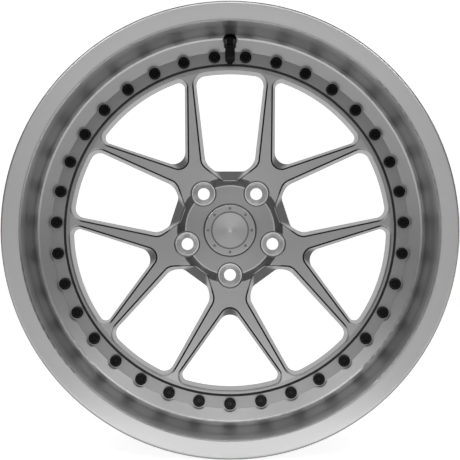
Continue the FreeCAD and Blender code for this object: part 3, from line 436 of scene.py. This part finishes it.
def soft_rubber(name, colour):
    """Matte rubber with a faint bloom."""
    material, pen, shader, place = new_finish(name)
    bloom = pen.noise(place, scale=140.0, detail=4.0)
    pen.feed(shader, {
        "Base Color": pen.tones(bloom, colour, dark=0.7, light=1.6),
        "Roughness": pen.spread(bloom, low=0.62, high=0.82),
        "Normal": pen.bump(bloom, strength=0.2, depth=0.00006),
    })
    return material


def dress(material, *nodes):
    """Gives CAD nodes a finish in place of their plain one."""
    for node in nodes:
        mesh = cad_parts[node].data
        mesh.materials.clear()
        mesh.materials.append(material)


# Geometry Nodes

def new_geometry_tree(name, inputs):
    """An empty Geometry Nodes tree with named inputs: its pen, the inputs by name and the output."""
    tree = bpy.data.node_groups.new(name, "GeometryNodeTree")
    for title, kind in inputs:
        tree.interface.new_socket(title, in_out="INPUT", socket_type=kind)
    tree.interface.new_socket("Geometry", in_out="OUTPUT", socket_type="NodeSocketGeometry")
    pen = Pen(tree)
    source = pen.add("NodeGroupInput").outputs
    target = pen.add("NodeGroupOutput").inputs["Geometry"]
    return pen, source, target


def turn(pen, shape, rotation):
    """The shape turned about the origin."""
    return pen.add("GeometryNodeTransform", {"Geometry": shape, "Rotation": rotation}).outputs[0]


def bar(pen, path, sides, radius):
    """A solid bar with so many sides along a path."""
    outline = {"Resolution": sides, "Radius": radius}
    section = pen.add("GeometryNodeCurvePrimitiveCircle", outline).outputs[0]
    swept = {"Curve": path, "Profile Curve": section, "Fill Caps": True}
    return pen.add("GeometryNodeCurveToMesh", swept).outputs[0]


def circle_points(pen, count, radius):
    """Points on a circle round Z."""
    return pen.add("GeometryNodeMeshCircle", {"Vertices": count, "Radius": radius}).outputs[0]


def finish_tree(pen, target, points, shape, material):
    """Sets the shape on each point, makes it real and gives it its finish."""
    copies = pen.add("GeometryNodeInstanceOnPoints", {"Points": points, "Instance": shape}).outputs[0]
    real = pen.add("GeometryNodeRealizeInstances", {"Geometry": copies}).outputs[0]
    done = pen.add("GeometryNodeSetMaterial", {"Geometry": real, "Material": material}).outputs[0]
    pen.tree.links.new(done, target)


def thread_tree():
    """One thread on each bolt end: a ridge wound round the axis, the first bolt at the bottom."""
    pen, source, target = new_geometry_tree("BoltThreads", (
        ("Bolt Count", "NodeSocketInt"),
        ("Circle Radius", "NodeSocketFloat"),
        ("Thread Radius", "NodeSocketFloat"),
        ("Turns", "NodeSocketFloat"),
        ("Length", "NodeSocketFloat"),
        ("Ridge", "NodeSocketFloat"),
        ("Finish", "NodeSocketMaterial"),
    ))
    wound = pen.add("GeometryNodeCurveSpiral", {
        "Resolution": 24,
        "Rotations": source["Turns"],
        "Start Radius": source["Thread Radius"],
        "End Radius": source["Thread Radius"],
        "Height": source["Length"],
    }).outputs[0]
    upright = bar(pen, wound, sides=4, radius=source["Ridge"])
    ridge = turn(pen, upright, (-math.pi / 2, 0.0, 0.0))
    circle = circle_points(pen, source["Bolt Count"], source["Circle Radius"])
    lowest_first = turn(pen, circle, (0.0, 0.0, -math.pi / 2))
    points = turn(pen, lowest_first, (math.pi / 2, 0.0, 0.0))
    finish_tree(pen, target, points, ridge, source["Finish"])
    return pen.tree


def rib_tree():
    """Straight ribs round a cap, along its axis."""
    pen, source, target = new_geometry_tree("CapRibs", (
        ("Rib Count", "NodeSocketInt"),
        ("Cap Radius", "NodeSocketFloat"),
        ("Length", "NodeSocketFloat"),
        ("Rib", "NodeSocketFloat"),
        ("Finish", "NodeSocketMaterial"),
    ))
    top = pen.add("ShaderNodeCombineXYZ", {2: source["Length"]}).outputs[0]
    line = pen.add("GeometryNodeCurvePrimitiveLine", {"End": top}).outputs[0]
    rib = bar(pen, line, sides=8, radius=source["Rib"])
    points = circle_points(pen, source["Rib Count"], source["Cap Radius"])
    finish_tree(pen, target, points, rib, source["Finish"])
    return pen.tree


def grown(name, tree, values):
    """Runs a Geometry Nodes tree with these inputs and gives the plain mesh as an object."""
    carrier = bpy.data.objects.new(name + "_carrier", bpy.data.meshes.new(name + "_carrier"))
    bpy.context.scene.collection.objects.link(carrier)
    modifier = carrier.modifiers.new(name, "NODES")
    modifier.node_group = tree
    for item in tree.interface.items_tree:
        if item.in_out == "INPUT":
            modifier[item.identifier] = values[item.name]
    bpy.context.view_layer.update()
    evaluated = carrier.evaluated_get(bpy.context.evaluated_depsgraph_get())
    mesh = bpy.data.meshes.new_from_object(evaluated)
    carrier.modifiers.clear()
    bpy.data.objects.remove(carrier)
    if not mesh.polygons:
        raise RuntimeError(name + " came out empty")
    shell = bmesh.new()
    shell.from_mesh(mesh)
    bmesh.ops.remove_doubles(shell, verts=shell.verts, dist=SAME_POINT)
    bmesh.ops.recalc_face_normals(shell, faces=shell.faces)
    shell.to_mesh(mesh)
    shell.free()
    mesh.name = name
    piece = bpy.data.objects.new(name, mesh)
    bpy.context.scene.collection.objects.link(piece)
    return piece


def carried(piece):
    """The wheel has one body, and each added piece rides on it."""
    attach(piece, "root")


# Operators

class WHEEL_OT_finish_lip(bpy.types.Operator):
    """Turned and clear coated finish of the outer lip, with painted light and shade by radius"""

    bl_idname = "wheel.finish_lip"
    bl_label = "Finish Lip"

    def execute(self, context):
        finishes = context.scene.wheel_finishes
        # Painted light and shade by radius
        painted_shading_zones = (
            # Painted shade in the joint round the disc's ring
            (0.203, 0.1), (0.2041, 0.1),
            # Painted shade on the bolting flange and cone, at the bottom of the dish
            (0.2046, 0.23), (0.2192, 0.23), (0.2328, 0.235),
            # Painted highlight on the foot of the dish wall
            (0.2348, 0.58), (0.2371, 0.62),
            # Painted shade on the dish wall
            (0.2385, 0.32), (0.2405, 0.38), (0.245, 0.375), (0.2474, 0.425),
            # Mouth: a painted highlight line and a painted shade line
            (0.2483, 0.54), (0.249, 0.23), (0.2498, 0.23),
            # Face of the flange, and painted shade on its edge
            (0.2508, 0.42), (0.269, 0.42), (0.27, 0.24), (0.2716, 0.24),
        )
        metal = turned_metal("turned_lip", finishes.lip_colour, finishes.lip_roughness, stretch=0.3,
                             mark=0.0006, depth=0.00002, painted_shading_zones=painted_shading_zones, true_from=TURNED_FROM)
        dress(metal, "outer_lip")
        return {"FINISHED"}


class WHEEL_OT_finish_disc(bpy.types.Operator):
    """Brushed finish of the centre disc, with painted light and shade by radius and by lean"""

    bl_idname = "wheel.finish_disc"
    bl_label = "Finish Disc"

    def execute(self, context):
        finishes = context.scene.wheel_finishes
        # Painted light and shade by radius
        painted_shading_zones = (
            # Painted shade in the joint round the cap
            (0.0318, 0.25), (0.0329, 0.25),
            # Hub floor and its edge with a painted highlight
            (0.0335, 0.87), (0.0541, 0.87), (0.0547, 1.4), (0.0556, 1.4),
            # Spokes
            (0.0562, 1.0), (0.1965, 1.0),
            # Ring, and painted shade in the joint round it
            (0.1975, 0.78), (0.2018, 0.78), (0.2026, 0.35), (0.22, 0.35),
        )
        # Painted shade by lean: rounded front edges are darker than the front faces and the walls
        hub = ((-1.0, 1.0), (-0.99, 1.0), (-0.94, 0.25), (-0.72, 0.25), (-0.62, 0.54), (-0.4, 0.5),
               (-0.25, 1.0), (1.0, 1.0))
        spokes = ((-1.0, 1.0), (-0.998, 1.0), (-0.985, 0.05), (-0.3, 0.05), (-0.2, 0.65), (-0.1, 1.0),
                  (1.0, 1.1))
        ring = ((-1.0, 1.0), (-0.995, 1.0), (-0.97, 0.75), (-0.45, 0.75), (-0.25, 1.08), (1.0, 1.1))
        painted_lean_shading = ((0.0, hub), (0.075, spokes), (0.1865, ring))
        metal = turned_metal("brushed_disc", finishes.disc_colour, finishes.disc_roughness, stretch=0.5,
                             mark=0.0005, depth=0.00004, contrast=0.13, painted_shading_zones=painted_shading_zones, painted_lean_shading=painted_lean_shading,
                             bare=finishes.seat_colour)
        dress(metal, "center_disc")
        return {"FINISHED"}


class WHEEL_OT_finish_barrel(bpy.types.Operator):
    """Machined finish of the inner barrel with painted shade in its joint, and the sealing bead"""

    bl_idname = "wheel.finish_barrel"
    bl_label = "Finish Barrel"

    def execute(self, context):
        finishes = context.scene.wheel_finishes
        # Painted shade: the joint round the disc's ring is dark
        painted_shading_zones = ((0.2, 0.25), (0.2047, 0.25), (0.206, 1.0), (0.2716, 1.0))
        metal = turned_metal("machined_barrel", finishes.barrel_colour, finishes.barrel_roughness,
                             stretch=0.4, mark=0.0009, depth=0.00006, contrast=0.08, painted_shading_zones=painted_shading_zones,
                             true_from=TURNED_FROM)
        dress(metal, "inner_barrel")
        dress(soft_rubber("sealing_bead", finishes.rubber_colour), "rim_seal")
        return {"FINISHED"}


class WHEEL_OT_finish_bolts(bpy.types.Operator):
    """Black bolts with threads on their ends, plated washers and nuts"""

    bl_idname = "wheel.finish_bolts"
    bl_label = "Finish Bolts"

    def execute(self, context):
        finishes = context.scene.wheel_finishes
        threads = context.scene.wheel_threads
        black = coated_black("black_bolts", finishes.black_colour, finishes.black_roughness)
        dress(black, "assembly_bolts")
        plated = plain_metal("plated_steel", finishes.plated_colour, roughness=0.34, grain=0.0012)
        dress(plated, "assembly_washers", "assembly_nuts")
        run = BOLTS_HIGH.y - NUTS_HIGH.y - THREAD_FREE * threads.bolt_ridge
        piece = grown("bolt_threads", thread_tree(), {
            "Bolt Count": threads.bolt_count,
            "Circle Radius": threads.bolt_circle,
            "Thread Radius": threads.bolt_radius,
            "Turns": run / threads.bolt_pitch,
            "Length": run,
            "Ridge": threads.bolt_ridge,
            "Finish": black,
        })
        start = NUTS_HIGH.y + THREAD_START * threads.bolt_ridge
        piece.data.transform(Matrix.Translation((0.0, start, 0.0)))
        carried(piece)
        return {"FINISHED"}


class WHEEL_OT_finish_cap(bpy.types.Operator):
    """Brushed cap and spun inlay with painted shade at their edges, small screws and the ring that holds
    the cap
    """

    bl_idname = "wheel.finish_cap"
    bl_label = "Finish Cap"

    def execute(self, context):
        finishes = context.scene.wheel_finishes
        # Painted shade: cap and inlay are darker at their edges
        cap_painted_shading = ((0.0228, 0.5), (0.0233, 0.5), (0.0237, 1.0), (0.0311, 1.0), (0.0316, 0.3),
                     (0.033, 0.3))
        inlay_painted_shading = ((0.0, 1.0), (0.0214, 1.0), (0.0219, 0.5), (0.023, 0.5))
        cap = turned_metal("brushed_cap", finishes.cap_colour, roughness=0.3, stretch=0.5, mark=0.0004,
                           depth=0.00003, painted_shading_zones=cap_painted_shading)
        dress(cap, "center_cap")
        inlay = turned_metal("spun_inlay", finishes.inlay_colour, roughness=0.3, stretch=0.6,
                             mark=0.0003, depth=0.00004, painted_shading_zones=inlay_painted_shading)
        dress(inlay, "cap_inlay")
        dark = plain_metal("dark_screws", shade(finishes.cap_colour, 0.5), roughness=0.35, grain=0.0006)
        dress(dark, "cap_screws")
        dress(soft_rubber("cap_rubber", finishes.rubber_colour), "cap_ring")
        return {"FINISHED"}


class WHEEL_OT_finish_valve(bpy.types.Operator):
    """Black valve with a ribbed cap, its rubber seal and brass core"""

    bl_idname = "wheel.finish_valve"
    bl_label = "Finish Valve"

    def execute(self, context):
        finishes = context.scene.wheel_finishes
        threads = context.scene.wheel_threads
        black = coated_black("black_valve", finishes.black_colour, finishes.black_roughness)
        dress(black, "valve_stem", "valve_washer", "valve_nut", "valve_cap")
        dress(soft_rubber("valve_rubber", finishes.rubber_colour), "valve_grommet")
        brass = plain_metal("valve_brass", finishes.brass_colour, roughness=0.3, grain=0.0008)
        dress(brass, "valve_core")
        piece = grown("valve_cap_ribs", rib_tree(), {
            "Rib Count": threads.rib_count,
            "Cap Radius": threads.valve_radius,
            "Length": threads.rib_length,
            "Rib": threads.rib_width,
            "Finish": black,
        })
        # The cap's foot, from the highest corner of its box, and the way it points
        sine, cosine = math.sin(threads.valve_lean), math.cos(threads.valve_lean)
        way = Vector((0.0, -cosine, -sine))
        inset = Vector((0.0, sine, cosine)) * threads.valve_radius
        foot = Vector((0.0, VALVE_HIGH.y, VALVE_HIGH.z)) - inset
        stand = Matrix.Translation(foot + RIB_START * threads.rib_width * way)
        piece.data.transform(stand @ way.to_track_quat("Z", "Y").to_matrix().to_4x4())
        carried(piece)
        return {"FINISHED"}


class WHEEL_OT_build_studio(bpy.types.Operator):
    """Pale floor and backdrop, soft light and the camera straight ahead of the wheel"""

    bl_idname = "wheel.build_studio"
    bl_label = "Build Studio"

    def execute(self, context):
        studio = context.scene.wheel_studio
        context.scene.view_settings.view_transform = "Standard"
        self.lay_floor(context, studio)
        self.light_sky(context, studio)
        square = (studio.softbox_size, studio.softbox_size)
        for turned in (-studio.softbox_turn, 0.0, studio.softbox_turn):
            place = (SOFTBOX_REACH * math.sin(turned), -SOFTBOX_AHEAD, SOFTBOX_REACH * math.cos(turned))
            self.hang_lamp(context, "softbox", square, studio.softbox_power, place)
        strip = (studio.strip_length, STRIP_SHARE * studio.strip_length)
        self.hang_lamp(context, "low_strip", strip, studio.strip_power, STRIP_PLACE)
        self.set_camera(context, studio)
        return {"FINISHED"}

    def lay_floor(self, context, studio):
        """One sheet: the floor, a wide bend and the backdrop."""
        near = -12.0
        far = 4.2
        side = 12.0
        top = 7.0
        bend = 1.5
        steps = 24
        ground = CAD_LOW.z
        profile = [(near, ground), (far, ground)]
        for step in range(1, steps + 1):
            bent = math.pi / 2 * step / steps
            profile.append((far + bend * math.sin(bent), ground + bend * (1.0 - math.cos(bent))))
        profile.append((far + bend, top))
        sheet = bmesh.new()
        rows = [[sheet.verts.new((x, y, z)) for x in (-side, side)] for y, z in profile]
        for first, second in zip(rows, rows[1:]):
            face = sheet.faces.new((first[0], first[1], second[1], second[0]))
            face.smooth = True
        mesh = bpy.data.meshes.new("studio_sweep")
        sheet.to_mesh(mesh)
        sheet.free()
        mesh.materials.append(self.pale_paper(studio))
        sweep = bpy.data.objects.new("studio_sweep", mesh)
        context.scene.collection.objects.link(sweep)

    def pale_paper(self, studio):
        """Matte paper, lifted toward white where a lens, metal or glass sees it."""
        material = bpy.data.materials.new("pale_paper")
        material.use_nodes = True
        pen = Pen(material.node_tree)
        shader = material.node_tree.nodes["Principled BSDF"]
        pen.feed(shader, {
            "Base Color": (*studio.floor_colour, 1.0),
            "Roughness": 0.9,
            "Specular IOR Level": 0.1,
        })
        path = pen.add("ShaderNodeLightPath").outputs
        bounced = pen.math("MAXIMUM", path["Is Glossy Ray"], path["Is Transmission Ray"])
        seen = pen.math("MAXIMUM", path["Is Camera Ray"], bounced)
        glow = pen.add("ShaderNodeEmission", {"Strength": pen.math("MULTIPLY", seen, studio.floor_glow)})
        both = pen.add("ShaderNodeAddShader", {0: shader.outputs[0], 1: glow.outputs[0]})
        pen.feed(material.node_tree.nodes["Material Output"], {0: both.outputs[0]})
        return material

    def light_sky(self, context, studio):
        """Soft light from ahead (-1) and behind (1), with dark screens at the sides."""
        world = bpy.data.worlds.new("studio_sky")
        world.use_nodes = True
        context.scene.world = world
        pen = Pen(world.node_tree)
        way = pen.add("ShaderNodeTexCoord").outputs["Generated"]
        depth = pen.add("ShaderNodeSeparateXYZ", {0: way}).outputs[1]
        level = pen.steps(depth, -1.0, 1.0, (
            (-1.0, studio.front_level),
            (-0.55, studio.front_level),
            (-0.3, studio.side_level),
            (0.1, studio.side_level),
            (0.45, studio.back_level),
            (1.0, studio.back_level),
        ))
        sky = world.node_tree.nodes["Background"]
        pen.feed(sky, {"Color": (1.0, 1.0, 1.0, 1.0), "Strength": level})

    def hang_lamp(self, context, name, size, watts, place):
        """A flat lamp ahead of the wheel, turned to face its lip."""
        lamp = bpy.data.lights.new(name, "AREA")
        lamp.shape = "RECTANGLE"
        lamp.size, lamp.size_y = size
        lamp.energy = watts
        box = bpy.data.objects.new(name, lamp)
        box.location = place
        aim = Vector((AIM_SHARE * place[0], CAD_LOW.y, AIM_SHARE * place[2])) - box.location
        box.rotation_euler = aim.to_track_quat("-Z", "Y").to_euler()
        box.visible_camera = False
        context.scene.collection.objects.link(box)

    def set_camera(self, context, studio):
        """A long lens on the wheel's axis."""
        lens = bpy.data.cameras.new("front_camera")
        lens.sensor_width = SENSOR_WIDTH
        lens.lens = SENSOR_WIDTH / 2 * studio.camera_distance / studio.frame_half_width
        camera = bpy.data.objects.new("front_camera", lens)
        camera.location = (0.0, CAD_LOW.y - studio.camera_distance, studio.camera_rise)
        camera.rotation_euler = (math.pi / 2, 0.0, 0.0)
        context.scene.collection.objects.link(camera)
        context.scene.camera = camera


class WHEEL_PT_workshop(bpy.types.Panel):
    """The wheel's finishes in the sidebar"""

    bl_idname = "WHEEL_PT_workshop"
    bl_label = "Forged Wheel"
    bl_space_type = "VIEW_3D"
    bl_region_type = "UI"
    bl_category = "Wheel"

    def draw(self, context):
        layout = self.layout
        for operator in OPERATORS:
            layout.operator(operator.bl_idname)
        for title, group in GROUPS:
            box = layout.box()
            for key in group.__annotations__:
                box.prop(getattr(context.scene, title), key)


OPERATORS = (
    WHEEL_OT_finish_lip,
    WHEEL_OT_finish_disc,
    WHEEL_OT_finish_barrel,
    WHEEL_OT_finish_bolts,
    WHEEL_OT_finish_cap,
    WHEEL_OT_finish_valve,
    WHEEL_OT_build_studio,
)
GROUPS = (
    ("wheel_finishes", WheelFinishes),
    ("wheel_threads", WheelThreads),
    ("wheel_studio", WheelStudio),
)


def register():
    """Adds the classes and the scene's properties."""
    for title, group in GROUPS:
        bpy.utils.register_class(group)
        setattr(bpy.types.Scene, title, PointerProperty(type=group))
    for operator in OPERATORS:
        bpy.utils.register_class(operator)
    bpy.utils.register_class(WHEEL_PT_workshop)


def unregister():
    """Takes them out again."""
    bpy.utils.unregister_class(WHEEL_PT_workshop)
    for operator in reversed(OPERATORS):
        bpy.utils.unregister_class(operator)
    for title, group in reversed(GROUPS):
        delattr(bpy.types.Scene, title)
        bpy.utils.unregister_class(group)


def main():
    """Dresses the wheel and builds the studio."""
    register()
    bpy.ops.wheel.finish_lip()
    bpy.ops.wheel.finish_disc()
    bpy.ops.wheel.finish_barrel()
    bpy.ops.wheel.finish_bolts()
    bpy.ops.wheel.finish_cap()
    bpy.ops.wheel.finish_valve()
    bpy.ops.wheel.build_studio()


if __name__ == "__main__":
    main()
